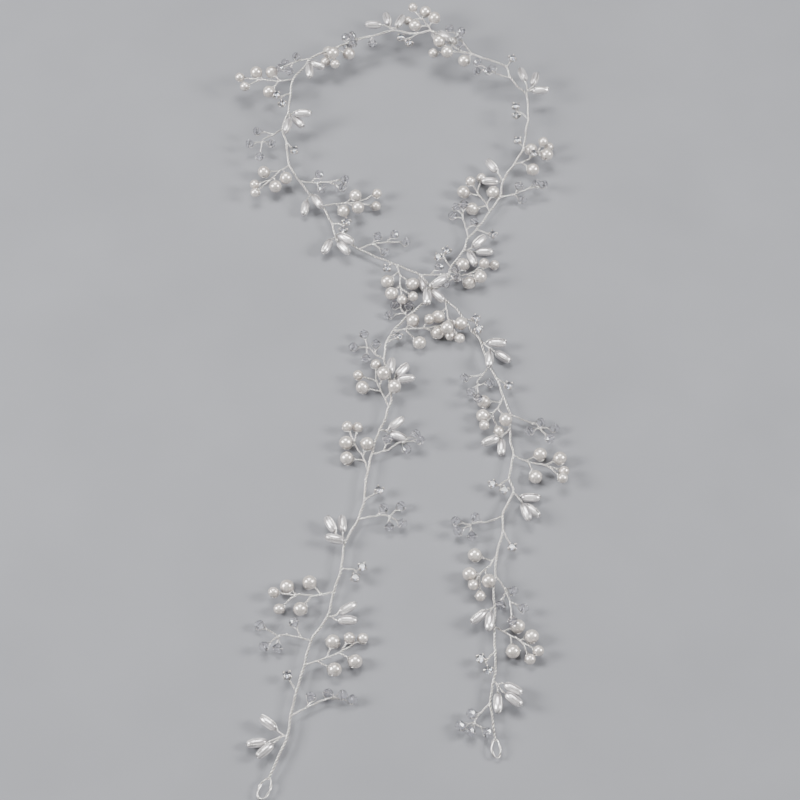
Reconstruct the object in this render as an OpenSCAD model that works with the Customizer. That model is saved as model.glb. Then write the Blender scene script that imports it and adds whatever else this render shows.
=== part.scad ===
// Hair vine: one long twisted wire stem, laid in a loop with two crossing tails, that carries
// sprigs of pearls, rice pearls, faceted crystal beads and small stones in cups on wire twigs.
// The stem is listed from the eye of the right-hand tail, over the top of the loop, to the
// eye of the left-hand tail. Millimetres, +Z up, standing on z = 0.

/* [Wire] */
// Diameter of the twisted wire of the stem
stem_d = 1.0; // [0.8:0.1:1.2]
// Diameter of the thinner twist of the sprigs
twig_d = 0.7; // [0.5:0.1:0.8]
// Room between a wire and the hole of its bead, all round
bore_clearance = 0.15; // [0.1:0.05:0.2]

/* [Beads] */
// Diameter of the three large pearls of a sprig
large_pearl_d = 6.0; // [5.6:0.1:6.2]
// Diameter of the two small pearls of a sprig
small_pearl_d = 4.6; // [4.2:0.1:4.8]
// Diameter of a rice pearl
rice_d = 4.1; // [3.7:0.1:4.3]
// Length of a rice pearl
rice_len = 8.0; // [7.5:0.5:9]
// Diameter of the blunt end of a rice pearl
rice_end_d = 2.4; // [2:0.1:2.8]
// Width of a crystal bead across its flats
crystal_w = 4.2; // [3.8:0.1:4.4]
// Diameter of a cup at the girdle of its stone
cup_d = 4.6; // [4.2:0.1:5]
// Height of a cup with its stone
cup_h = 3.0; // [2.6:0.1:3.4]

/* [Eyes] */
// Length of the eye at the end of the right-hand tail
right_eye_len = 7.5; // [6:0.5:9]
// Width of the eye at the end of the right-hand tail
right_eye_w = 3.5; // [3:0.5:5]
// Length of the eye at the end of the left-hand tail
left_eye_len = 9.0; // [7:0.5:11]
// Width of the eye at the end of the left-hand tail
left_eye_w = 4.5; // [3.5:0.5:6]

/* [Sprigs] */
// Share of the way from its foot to the middle of its beads that the spine of a sprig covers
spine_share = 0.85; // [0.6:0.05:0.95]
// Sideways bow of a spine, as a share of its length
spine_bow = 0.06; // [0:0.01:0.1]
// How far a twig leans forward, as a share of how far it reaches sideways
twig_lean = 0.85; // [0.3:0.05:1]
// Share of the spine below its first twig
bare_share = 0.3; // [0.2:0.05:0.5]
// Straight wire below the blunt end of a rice pearl
rice_neck = 0.8; // [0.5:0.1:1.2]
// Least room between two beads, or between a bead and the stem
bead_gap = 0.25; // [0.15:0.05:0.3]
// How far a bead comes forward for each millimetre that it is lifted over its neighbours
forward_lean = 0.6; // [0.3:0.1:0.8]

/* [Hidden] */

stem_sides = 5;
twig_sides = 4;
// A twig starts a little thinner, so that its end lies within the spine
twig_root = 0.7;
// Each ring of a wire is turned on from the one before, as its strands are
ring_turn = 25;
eye_points = 10;
large_pearls = 3;
crystal_sides = 8;
stone_sides = 8;
// Straight bands that a rice pearl is turned from, and how little it thins near its middle
rice_bands = 8;
rice_fullness = 3;
round_fn = 48;
bore_fn = 24;
// Diameter of the foot of a cup and of the table of its stone, as shares of the cup's diameter
cup_foot_share = 0.6;
table_share = 0.55;
// Degrees that the bow of a spine turns for each millimetre along the vine
bow_wave = 40;

// Columns of the tables: what grows there, the place of its foot on the stem, and its beads.
// A bead is [x, y] or [x, y, lift], a rice pearl [x, y, turn] or [x, y, turn, lift], where the
// lift is its height above the foot and the turn is the way that its tip points in plan.
KIND = 0;
X = 1;
Y = 2;
Z = 3;
BEADS = 4;
// The places that the beads take in the end are put behind these
SPOTS = 5;

// The stem from the right-hand eye to the top of the loop, with its sprigs
RIGHT = [
    ["bend", 42, -189.5, 3],
    ["bend", 41, -179, 4],
    ["crystals", 40.5, -174, 4, [[32.5, -178.5], [28, -184], [32, -186], [39, -186.5]]],
    ["rice", 42, -164, 4, [[50, -167.5, -30], [50, -172, -38], [43.5, -174, -90]]],
    ["bend", 43, -159, 4],
    ["stones", 43, -151, 4, [[37, -154], [40, -159]]],
    ["bend", 43, -145, 4],
    ["pearls", 43, -139.5, 4, [[53, -139.5], [58.5, -144], [50.5, -151], [61, -150.5], [57.5, -154.5]]],
    ["rice", 43.5, -130, 4, [[36.5, -135, -140], [41, -137, -98]]],
    ["bend", 43, -125, 4],
    ["crystals", 44, -115.5, 4, [[51.5, -123], [46, -130], [55.5, -131], [50.5, -136.5]]],
    ["pearls", 45, -105.5, 4, [[35.5, -106], [33, -115], [41, -118], [34.5, -120], [37.5, -125.5]]],
    ["bend", 46.5, -99.5, 4],
    ["stones", 48, -94, 4, [[51.5, -102]]],
    ["crystals", 48, -87, 4, [[36, -87.5], [27.5, -89.5], [28.5, -94.5], [34.5, -97]]],
    ["bend", 50.5, -80.5, 4],
    ["rice", 53, -75, 4, [[60.5, -78, -2, -1.5], [61, -84.5, -43], [58, -85, -72, 2.5]]],
    ["stones", 51.5, -68.5, 4, [[44, -71], [49, -74]]],
    ["bend", 52.5, -62, 4],
    ["pearls", 53.5, -56.5, 4, [[65.5, -56], [74, -58], [63, -67.5], [75.5, -64.5], [74.5, -68]]],
    ["bend", 52.5, -48.5, 4],
    ["rice", 52.5, -43, 4, [[43.5, -49, -155], [48.5, -52.5, -92]]],
    ["crystals", 53, -35.5, 4, [[66.5, -39.5, -1.5], [72.5, -42.5], [70, -48], [61, -44]]],
    ["bend", 51.5, -30.5, 4],
    ["pearls", 50, -25.5, 4, [[41, -28.5], [50.5, -38], [40.5, -36], [41, -41], [47.5, -44]]],
    ["stones", 47, -15.5, 4, [[52.5, -20]]],
    ["crystals", 44, -9.5, 4, [[32.5, -16], [35.5, -23.5], [38.5, -27], [44.5, -18.5]]],
    ["bend", 42, -2.5, 4],
    ["rice", 40.5, 4, 4, [[48, 3, -3], [50.5, -4.5, -38], [44, -6, -93]]],
    ["bend", 36.5, 9.5, 4.5],
    ["stones", 33, 16, 5, [[38.5, 16], [39.5, 10]]],
    ["bend", 29, 22, 5],
    ["pearls", 24.5, 26.5, 5, [[21, 17], [31.5, 13], [25, 10.5, 4], [26.5, 6.5, -2], [31, 5]]],
    ["rice", 18, 33.5, 5, [[21, 28.5, -47], [16, 27.5, -90]]],
    ["crystals", 13, 40.5, 5, [[22, 45.5], [25, 35.5], [30, 43.5, 2], [30.5, 38.5, 3]]],
    ["bend", 5.5, 44.5, 5],
    ["pearls", 2, 46.5, 5, [[-2.5, 37], [-0.5, 30], [9.5, 35.5], [4.5, 26.5], [9.5, 28, 3]]],
    ["stones", -0.5, 48, 4.5, [[-2.5, 45]]],
    ["bend", -9, 52.5, 4],
    ["crystals", -16, 56.5, 4, [[-7, 64], [-3.5, 54.5], [1, 65], [6.5, 60.5]]],
    ["bend", -19.5, 59, 4],
    ["bend", -25.5, 61, 4],
    ["rice", -27, 64, 4, [[-22, 62, -33], [-23, 56.5, -50], [-31, 57.5, -115]]],
    ["stones", -29, 71.5, 4, [[-22, 72.5], [-23.5, 67.5]]],
    ["pearls", -34, 82, 4, [[-18, 88.5], [-23.5, 79], [-16.5, 80.5, 3.5], [-7.5, 89.5], [-8, 82]]],
    ["rice", -40, 89, 4.5, [[-36, 84, -60], [-42, 80.5, -98]]],
    ["crystals", -45, 96, 5.5, [[-35.5, 100], [-34, 91.5], [-23, 97], [-24, 92]]],
    ["pearls", -50, 105, 6.5, [[-62.5, 101], [-51.5, 97], [-56.5, 92], [-66.5, 93], [-66, 88]]],
    ["stones", -52, 118.5, 8, [[-48, 113]]],
    ["crystals", -54, 126.5, 8.5, [[-66.5, 124.5], [-70, 117], [-64.5, 108.5], [-59, 117]]],
    ["rice", -51.5, 135, 10, [[-51.5, 126.5, -100], [-46.5, 129.5, -50], [-44, 134, 0]]],
    ["bend", -51, 140.5, 10.5],
    ["stones", -50.5, 147, 11, [[-57.5, 145.5], [-54.5, 140]]],
    ["pearls", -49.5, 155, 12, [[-60.5, 160], [-68, 159.5], [-61.5, 147.5], [-76, 156], [-73.5, 150.5]]],
    ["rice", -43.5, 164, 12, [[-41.5, 160, -85], [-38, 165, -25]]],
    ["crystals", -41.5, 168.5, 12, [[-48.5, 169.5, 1.5], [-54, 166], [-51.5, 160], [-56, 161.5]]],
    ["bend", -36, 172, 12],
    ["pearls", -27.5, 176.5, 12, [[-32.5, 174], [-30, 171.5, 3], [-22, 172], [-34, 167.5, -1.5], [-29, 165.5]]],
    ["stones", -24, 178.5, 12, [[-23, 177]]],
    ["bend", -18, 181.5, 12],
    ["crystals", -8, 184.5, 12, [[-10.5, 178.5], [-20, 177.5], [-20.5, 181], [-24, 183]]],
    ["rice", 0.5, 187.5, 12, [[-10, 191, 178], [-3, 195.5, 105], [3.5, 193.5, 67]]],
    ["bend", 4, 187, 12]
];

// The stem from the top of the loop to the left-hand eye, with its sprigs
LEFT = [
    ["bend", 4, 187, 12],
    ["bend", 8, 185.5, 12],
    ["stones", 12.5, 185.5, 12, [[8, 179], [4, 182.5]]],
    ["pearls", 19.5, 187, 12, [[16.5, 200.5], [21, 196], [11, 191], [10, 203], [7.5, 195]]],
    ["bend", 24, 183.5, 12],
    ["rice", 29, 178.5, 12, [[26, 182.5, 135], [22, 183.5, 115]]],
    ["bend", 33.5, 174, 12],
    ["crystals", 40, 171.5, 12, [[34.5, 178.5, -3], [33, 182.5, 3.5], [28.5, 188.5], [34.5, 187]]],
    ["pearls", 44, 169.5, 12, [[35.5, 167.5], [27, 172, 3.5], [23, 179], [20, 172], [30, 180.5]]],
    ["bend", 48.5, 167.5, 12],
    ["stones", 56.5, 163, 12, [[59.5, 168.5]]],
    ["crystals", 58.5, 156, 12, [[49.5, 162.5, -1.5], [47, 159.5, 3], [42, 166], [41.5, 160.5]]],
    ["bend", 62, 150.5, 11.5],
    ["rice", 66, 146, 11, [[64.5, 158.5, 105], [70.5, 156, 75], [73, 148.5, 5]]],
    ["bend", 66.5, 138, 10],
    ["stones", 66.5, 131.5, 9.5, [[60.5, 139.5], [60.5, 133.5]]],
    ["bend", 65.5, 126, 9],
    ["stones", 63.5, 114.5, 7.5, [[61, 119.5], [68.5, 111.5]]],
    ["pearls", 58.5, 105, 6.5, [[68, 102.5], [75, 111.5], [67.5, 115], [73.5, 119.5], [76.5, 117]]],
    ["rice", 53.5, 96.5, 5.5, [[48, 105, 125], [47, 96, 175]]],
    ["crystals", 51.5, 87, 4.5, [[61, 94], [62.5, 85.5], [69.5, 95], [72.5, 94]]],
    ["pearls", 46.5, 78.5, 4, [[38, 80.5], [34, 90.5], [48.5, 90.5], [37.5, 97], [43, 99.5]]],
    ["stones", 40, 68, 4, [[47.5, 65]]],
    ["crystals", 36, 63, 4, [[39, 72.5], [28.5, 76.5], [30.5, 81.5], [34, 82.5]]],
    ["rice", 33.5, 55.5, 4, [[41, 60.5, 45], [43.5, 55, 0], [37.5, 50.5, -67, 1]]],
    ["stones", 27.5, 46, 3.5, [[21.5, 52], [25.5, 56]]],
    ["pearls", 24.5, 37.5, 3, [[33, 48], [36, 37.5], [41, 40.5], [48, 48, -0.7], [43, 48.5, 3]]],
    ["rice", 20.5, 34.5, 3, [[21.5, 37.5, 35], [14, 37, 105]]],
    ["bend", 13.5, 25, 3],
    ["crystals", 7, 18.5, 3, [[-1.5, 19.5, -1], [1, 25, -1], [8, 24.5, -1], [5.5, 29, -1]]],
    ["pearls", 0.5, 10, 3.5, [[9.5, 16], [12.5, 3.5], [21, 9], [17, 16.5], [26.5, 14, -1.2]]],
    ["stones", -2.5, 3.5, 4, [[2.5, 7]]],
    ["crystals", -3.5, -6, 4, [[-13, 8], [-18, 1], [-7.5, 2.5], [-12, -5.5]]],
    ["bend", -1.5, -16, 4],
    ["rice", -1, -21, 4, [[-0.5, -9.5, 83], [4.5, -12, 50], [6, -16.5, 10]]],
    ["bend", -0.5, -28, 4],
    ["pearls", -1.5, -31.5, 4, [[1, -20.5], [-13.5, -21], [-4, -13.5], [-15.5, -14.5], [-7.5, -8.5]]],
    ["bend", -4, -40.5, 4],
    ["rice", -5.5, -43.5, 4, [[2, -40, 42], [3, -47, -25]]],
    ["crystals", -9, -56, 4, [[-2, -48], [10.5, -45.5, 1.5], [12.5, -48.5], [6.5, -53.5]]],
    ["pearls", -10.5, -64.5, 4, [[-20, -58], [-20.5, -50], [-11, -50.5], [-20, -41.5], [-15.5, -42]]],
    ["bend", -11.5, -70, 4],
    ["stones", -12, -79, 4, [[-5.5, -74]]],
    ["crystals", -14.5, -88.5, 4, [[-3.5, -83], [4, -82], [4.5, -90.5], [-1, -92.5]]],
    ["rice", -20, -100, 4, [[-26.5, -91, 118], [-21.5, -91, 95], [-24.5, -98, 165]]],
    ["stones", -21.5, -112.5, 4, [[-12.5, -111.5], [-15.5, -116.5]]],
    ["pearls", -24.5, -123.5, 4, [[-35, -119], [-44.5, -121, -1], [-38.5, -131.5], [-50, -123.5], [-47.5, -131.5]]],
    ["rice", -27, -135, 4, [[-18.5, -131, 32], [-18.5, -136.5, -2]]],
    ["crystals", -33.5, -146, 4, [[-41, -137.5], [-55.5, -139], [-53, -148.5], [-47.5, -149.5]]],
    ["pearls", -36, -157, 4, [[-24.5, -146.5], [-23.5, -159], [-15, -155.5], [-17.5, -144.5], [-12, -145]]],
    ["stones", -39, -169, 4, [[-43, -161.5]]],
    ["crystals", -41, -179.5, 4, [[-33, -171], [-26, -170, -1.9], [-20, -170, 2], [-16, -172.5]]],
    ["rice", -42, -188, 4, [[-50, -182.5, 140], [-54.5, -191.5, 187], [-51, -194.5, 222]]],
    ["bend", -45, -196, 4],
    ["bend", -49, -206, 3]
];

// Usual height of each bead above the foot of its sprig
PEARL_LIFTS = [-1, 0.5, -0.5, 1, -0.5];
CRYSTAL_LIFTS = [0.5, -1, 1, -0.5];
RICE_LIFTS = [1, -1, 0.5];
STONE_LIFTS = [0.5, 1];

function unit(v) = v / norm(v);
function between(a, b, share) = a + share * (b - a);
function mean(list) = [for (k = [0:len(list) - 1]) 1] * list / len(list);

function is_large(kind, i) = kind == "pearls" && i < large_pearls;

function lifts(kind) =
    kind == "pearls" ? PEARL_LIFTS
    : kind == "crystals" ? CRYSTAL_LIFTS
    : kind == "rice" ? RICE_LIFTS
    : STONE_LIFTS;

function bead_r(kind, i) =
    kind == "pearls" ? (is_large(kind, i) ? large_pearl_d : small_pearl_d) / 2
    : kind == "crystals" ? crystal_w / 2
    : kind == "rice" ? rice_d / 2
    : cup_d / 2;

function foot(row) = [row[X], row[Y], row[Z]];
function count(row) = len(row[BEADS]);
function own_lift(row, i) = row[BEADS][i][row[KIND] == "rice" ? 3 : 2];
function lift(row, i) = own_lift(row, i) == undef ? lifts(row[KIND])[i] : own_lift(row, i);

// Radius of a rice pearl at a distance from its middle
function rice_radius(at) =
    rice_d / 2 - (rice_d - rice_end_d) / 2 * pow(abs(2 * at / rice_len), rice_fullness);

// Balls [x, y, z, radius] that fill a bead. Those of a rice pearl lie at these shares of its
// length, and the corners of a crystal bead reach a little past its flats.
RICE_BALLS = [-0.45, -0.25, 0, 0.25, 0.45];
crystal_reach = 1.1;
function ball(at, r) = [at.x, at.y, at.z, r];
function balls(row, i, at) =
    row[KIND] == "rice"
    ? [for (share = RICE_BALLS)
        ball(at + share * rice_len * rice_way(row, i), rice_radius(share * rice_len))]
    : [ball(at, bead_r(row[KIND], i) * (row[KIND] == "crystals" ? crystal_reach : 1))];

// Room between two balls, and between a ball and a straight piece of the stem
function room(a, b) = norm([a[0] - b[0], a[1] - b[1], a[2] - b[2]]) - a[3] - b[3];
function wire_room(a, p, q) =
    let (at = [a[0], a[1], a[2]])
    let (share = max(0, min(1, (at - p) * (q - p) / ((q - p) * (q - p)))))
    norm(between(p, q, share) - at) - a[3] - stem_d / 2;

// A bead takes the first height that is free, beginning with the one that suits its sprig,
// and it is never lower than where it lies on the ground
TRIES = [0, 0.5, -0.5, 1, -1, 1.5, -1.5, 2, -2, 2.5, -2.5, 3, -3, 3.5, 4, 4.5, 5, 5.5, 6, 7, 8, 9];
// Two things further apart than this can't touch
NEAR = 16;
function at_height(row, i, step) =
    let (bead = row[BEADS][i])
    let (z = max(bead_r(row[KIND], i), row[Z] + lift(row, i) + step))
    [bead[0], bead[1] - forward_lean * (z - row[Z]), z];
function is_near(a, b) = abs(a[0] - b[0]) < NEAR && abs(a[1] - b[1]) < NEAR;
function is_free(mine, others, pieces) =
    min([for (a = mine, b = others) room(a, b), bead_gap]) >= bead_gap
    && min([for (a = mine, p = pieces) wire_room(a, p[0], p[1]), bead_gap]) >= bead_gap;
function spot(row, i, taken, pieces) =
    let (start = at_height(row, i, 0))
    let (others = [for (b = taken) if (is_near(b, start)) b])
    let (stretch = row[KIND] == "stones" ? [] : [for (p = pieces) if (is_near(p[0], start)) p])
    let (free = [for (step = TRIES)
        let (at = at_height(row, i, step))
        if (is_free(balls(row, i, at), others, stretch)) at])
    len(free) > 0 ? free[0] : start;
function spots(row, taken, pieces, i = 0, done = []) =
    i == count(row)
    ? done
    : let (at = spot(row, i, taken, pieces))
      spots(row, concat(taken, balls(row, i, at)), pieces, i + 1, concat(done, [at]));
function settle(rows, pieces, k = 0, done = [], taken = []) =
    k == len(rows)
    ? done
    : let (places = spots(rows[k], taken, pieces))
      let (mine = [for (i = [0:1:len(places) - 1]) each balls(rows[k], i, places[i])])
      settle(rows, pieces, k + 1, concat(done, [concat(rows[k], [places])]), concat(taken, mine));

function filled(row) = len(row) > BEADS ? row : concat(row, [[]]);
function pieces(rows) = [for (k = [0:len(rows) - 2]) [foot(rows[k]), foot(rows[k + 1])]];
both = settle(
    [for (row = concat(RIGHT, LEFT)) filled(row)],
    concat(pieces(RIGHT), pieces(LEFT))
);
right_half = [for (k = [0:len(RIGHT) - 1]) both[k]];
left_half = [for (k = [len(RIGHT):len(both) - 1]) both[k]];

function middle(row, i) = row[SPOTS][i];

// A rice pearl points its tip along its turn, and its wire comes in at the other end
function rice_way(row, i) =
    let (turn = row[BEADS][i][2])
    [cos(turn), sin(turn), 0];
function rice_base(row, i) = middle(row, i) - (rice_len / 2 + rice_neck) * rice_way(row, i);
function goal(row, i) = row[KIND] == "rice" ? rice_base(row, i) : middle(row, i);

// The spine of a sprig runs from its foot towards the middle of what it carries
function spine_end(row) =
    let (share = row[KIND] == "rice" ? spine_share / 2 : spine_share)
    between(foot(row), mean([for (i = [0:count(row) - 1]) goal(row, i)]), share);
function spine_side(row) =
    let (way = spine_end(row) - foot(row))
    [-way.y, way.x, 0];
function spine_bend(row) =
    between(foot(row), spine_end(row), 0.5) + spine_bow * sin(bow_wave * row[Y]) * spine_side(row);
function is_long(row) = row[KIND] == "pearls" || row[KIND] == "crystals";
function on_spine(row, share) =
    !is_long(row) ? between(foot(row), spine_end(row), share)
    : share < 0.5 ? between(foot(row), spine_bend(row), 2 * share)
    : between(spine_bend(row), spine_end(row), 2 * share - 1);

// A twig leaves the spine some way below its bead
function fork(row, i) =
    let (way = spine_end(row) - foot(row))
    let (reach = goal(row, i) - foot(row))
    let (along = reach * unit(way))
    let (across = norm(reach - along * unit(way)))
    on_spine(row, min(1, max(bare_share, (along - twig_lean * across) / norm(way))));

// The spine itself goes on into the last bead of the sprig
function is_last(row, i) = i == count(row) - 1;
function twig_start(row, i) =
    count(row) == 1 ? foot(row)
    : is_last(row, i) ? spine_end(row)
    : fork(row, i);
function twig_way(row, i) = unit(goal(row, i) - twig_start(row, i));

// The end of a twig lies in the hole of its bead
function threaded(row, i) =
    row[KIND] == "rice" ? [rice_base(row, i), middle(row, i) + rice_len / 2 * rice_way(row, i)]
    : row[KIND] == "stones" ? [middle(row, i)]
    : [middle(row, i) + bead_r(row[KIND], i) * twig_way(row, i)];
function stalk(row, i) =
    concat(
        is_last(row, i) ? [foot(row)] : [],
        is_last(row, i) && is_long(row) ? [spine_bend(row)] : [],
        count(row) > 1 ? [twig_start(row, i)] : [],
        threaded(row, i)
    );

// The whole vine is moved so that its box stands on the ground with its middle at the origin
function corners(rows, side) = [
    for (row = rows)
        if (count(row) > 0)
            for (i = [0:count(row) - 1])
                middle(row, i) + side * bead_r(row[KIND], i) * [1, 1, 1]
];
function lowest(list) = [for (k = [0:2]) min([for (p = list) p[k]])];
function highest(list) = [for (k = [0:2]) max([for (p = list) p[k]])];
left_end = foot(LEFT[len(LEFT) - 1]);
left_way = unit(left_end - foot(LEFT[len(LEFT) - 2]));
low = lowest(concat(corners(both, -1), [left_end + left_eye_len * left_way]));
high = highest(corners(both, 1));
origin = [(low.x + high.x) / 2, (low.y + high.y) / 2, low.z];

// A wire is swept along its path, with a ring of points at each bend. Its first ring has the
// given share of the radius.
function step_way(path, i, closed) =
    let (n = len(path))
    let (a = closed ? i : max(0, min(n - 2, i)))
    unit(path[(a + 1) % n] - path[(a + n) % n]);
function ring(path, i, r, sides, closed) =
    let (n = len(path))
    let (before = step_way(path, closed ? (i + n - 1) % n : i - 1, closed))
    let (after = step_way(path, i, closed))
    let (way = unit(before + after))
    let (miter = 1 / max(0.5, norm(before + after) / 2))
    let (side = unit(cross(way, [0, 0, 1])))
    let (up = cross(side, way))
    [for (k = [0:sides - 1])
        let (a = 360 * (k + 0.5) / sides + (closed ? 0 : ring_turn * i))
        path[i] + r * (miter * cos(a) * side + sin(a) * up)];

module wire(path, r, sides, closed = false, root = 1) {
    n = len(path);
    steps = closed ? n : n - 1;
    walls = [for (i = [0:steps - 1], k = [0:sides - 1])
        let (next = (i + 1) % n)
        let (turn = (k + 1) % sides)
        each [
            [i * sides + k, i * sides + turn, next * sides + turn],
            [i * sides + k, next * sides + turn, next * sides + k]
        ]];
    ends = closed ? [] : [
        [for (k = [1:sides]) sides - k],
        [for (k = [0:sides - 1]) (n - 1) * sides + k]
    ];
    polyhedron(
        points = [for (i = [0:n - 1]) each ring(path, i, i == 0 ? root * r : r, sides, closed)],
        faces = concat(walls, ends)
    );
}

// The end of the stem, bent back into an eye and closed where it began
module eye(neck, way, length, width) {
    side = [-way.y, way.x, 0];
    wire(
        [for (k = [0:eye_points - 1])
            let (a = 360 * k / eye_points)
            neck + length / 2 * (1 - cos(a)) * way + width / 2 * sin(a) * side],
        stem_d / 2,
        stem_sides,
        closed = true
    );
}

module aim(at, way) {
    translate(at)
        rotate([0, acos(way.z / norm(way)), atan2(way.y, way.x)])
            children();
}

// A small round stone held in a metal cup: a tapered cup, the girdle and a flat table
module stone_in_cup() {
    hull() {
        translate([0, 0, -cup_h / 2])
            cylinder(h = cup_h / 2, d1 = cup_foot_share * cup_d, d2 = cup_d, $fn = stone_sides);
        cylinder(h = cup_h / 2, d1 = cup_d, d2 = table_share * cup_d, $fn = stone_sides);
    }
}

module sprig_wire(row) {
    for (i = [0:count(row) - 1]) {
        wire(stalk(row, i), twig_d / 2, twig_sides, root = twig_root);
        if (row[KIND] == "stones")
            translate(middle(row, i))
                stone_in_cup();
    }
}

module stem_with_sprigs(rows) {
    wire([for (row = rows) foot(row)], stem_d / 2, stem_sides);
    for (row = rows)
        if (count(row) > 0)
            sprig_wire(row);
}

hole_r = twig_d / 2 + bore_clearance;

module bore(length) {
    cylinder(h = length, r = hole_r, center = true, $fn = bore_fn);
}

module pearl(d) {
    difference() {
        sphere(d = d, $fn = round_fn);
        bore(2 * d);
    }
}

module rice_pearl() {
    heights = [for (k = [0:rice_bands]) rice_len * (k / rice_bands - 0.5)];
    rotate_extrude($fn = round_fn)
        polygon(concat(
            [[hole_r, -rice_len / 2]],
            [for (h = heights) [rice_radius(h), h]],
            [[hole_r, rice_len / 2]]
        ));
}

module flats() {
    rotate([0, 0, 180 / crystal_sides])
        cylinder(
            h = 2 * crystal_w,
            d = crystal_w / cos(180 / crystal_sides),
            center = true,
            $fn = crystal_sides
        );
}

// Three eight-sided prisms along the three axes leave a ball of flat facets
module crystal() {
    difference() {
        intersection() {
            flats();
            rotate([90, 0, 0])
                flats();
            rotate([0, 90, 0])
                flats();
        }
        bore(2 * crystal_w);
    }
}

module pearls(rows, large) {
    for (row = rows)
        if (row[KIND] == "pearls")
            for (i = [0:count(row) - 1])
                if (is_large(row[KIND], i) == large)
                    aim(middle(row, i), twig_way(row, i))
                        pearl(2 * bead_r(row[KIND], i));
}

module rice_pearls(rows) {
    for (row = rows)
        if (row[KIND] == "rice")
            for (i = [0:count(row) - 1])
                aim(middle(row, i), rice_way(row, i))
                    rice_pearl();
}

module crystals(rows) {
    for (row = rows)
        if (row[KIND] == "crystals")
            for (i = [0:count(row) - 1])
                aim(middle(row, i), twig_way(row, i))
                    crystal();
}

module wire_right() {
    neck = foot(RIGHT[0]);
    color("silver")
        translate(-origin) {
            stem_with_sprigs(right_half);
            eye(neck, unit(neck - foot(RIGHT[1])), right_eye_len, right_eye_w);
        }
}

module wire_left() {
    color("silver")
        translate(-origin) {
            stem_with_sprigs(left_half);
            eye(left_end, left_way, left_eye_len, left_eye_w);
        }
}

module large_pearls_right() {
    color("ivory")
        translate(-origin)
            pearls(right_half, true);
}

module large_pearls_left() {
    color("ivory")
        translate(-origin)
            pearls(left_half, true);
}

module small_pearls_right() {
    color("linen")
        translate(-origin)
            pearls(right_half, false);
}

module small_pearls_left() {
    color("linen")
        translate(-origin)
            pearls(left_half, false);
}

module rice_pearls_right() {
    color("white")
        translate(-origin)
            rice_pearls(right_half);
}

module rice_pearls_left() {
    color("white")
        translate(-origin)
            rice_pearls(left_half);
}

module crystals_right() {
    color("lavender")
        translate(-origin)
            crystals(right_half);
}

module crystals_left() {
    color("lavender")
        translate(-origin)
            crystals(left_half);
}

wire_right();
large_pearls_right();
small_pearls_right();
rice_pearls_right();
crystals_right();
wire_left();
large_pearls_left();
small_pearls_left();
rice_pearls_left();
crystals_left();
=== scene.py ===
import math
import random

import bpy
import numpy as np
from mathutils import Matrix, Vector


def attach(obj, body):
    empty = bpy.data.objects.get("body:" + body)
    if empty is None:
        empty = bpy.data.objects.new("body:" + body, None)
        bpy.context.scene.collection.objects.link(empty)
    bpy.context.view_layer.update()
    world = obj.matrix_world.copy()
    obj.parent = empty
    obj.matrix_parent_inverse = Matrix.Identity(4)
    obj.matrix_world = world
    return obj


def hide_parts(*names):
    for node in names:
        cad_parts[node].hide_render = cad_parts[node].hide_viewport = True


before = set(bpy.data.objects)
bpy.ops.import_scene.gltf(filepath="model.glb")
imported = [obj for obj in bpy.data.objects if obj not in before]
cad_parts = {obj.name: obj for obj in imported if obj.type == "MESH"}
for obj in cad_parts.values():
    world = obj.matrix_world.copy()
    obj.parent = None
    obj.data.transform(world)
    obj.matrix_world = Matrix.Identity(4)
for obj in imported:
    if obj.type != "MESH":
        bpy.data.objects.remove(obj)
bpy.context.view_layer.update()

# A hair vine: one long stem of two silver wires twisted together, laid in a loop with two
# crossing tails, with sprigs of pearls, rice pearls, glass crystals and small stones in cups.
# Sizes are in millimetres until a mesh is made.
MM = 0.001

STEM_D = 1.0
TWIG_D = 0.7
LARGE_PEARL_D = 6.0
SMALL_PEARL_D = 4.6
RICE_D = 4.1
RICE_LEN = 8.0
RICE_END_D = 2.4
RICE_FULLNESS = 3
CRYSTAL_W = 4.2
CUP_D = 4.6
BORE_D = 1.0
# Length and width of each eye
RIGHT_EYE = (7.5, 3.5)
LEFT_EYE = (9.0, 4.5)

# How a sprig is laid out, as in the solid part
# How far a spine reaches towards the middle of its beads, and its bow as a share of its length
SPINE_SHARE = 0.85
SPINE_BOW = 0.06
# Degrees in the sine of the bow for each millimetre up the vine, so that spines bow both ways
BOW_TURN = 40
# How far back on the spine a twig starts for each millimetre that its bead lies to the side
TWIG_LEAN = 0.85
# The first share of a spine, which has no twigs
BARE_SHARE = 0.3
# The twist of a twig ends this far before a rice pearl
RICE_NECK = 0.8
BEAD_GAP = 0.25
# A raised bead lies this much nearer the tails for each millimetre up, so that the photograph's
# view of it stays the same
FORWARD_LEAN = 0.6
# The first beads of a pearl sprig are the large ones
LARGE_PEARLS = 3
# A rice pearl is kept clear of its neighbours as a row of balls, at these shares of its length
RICE_BALLS = (-0.45, -0.25, 0, 0.25, 0.45)
# and a crystal as a ball this many times as wide
CRYSTAL_BALL = 1.1

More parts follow.
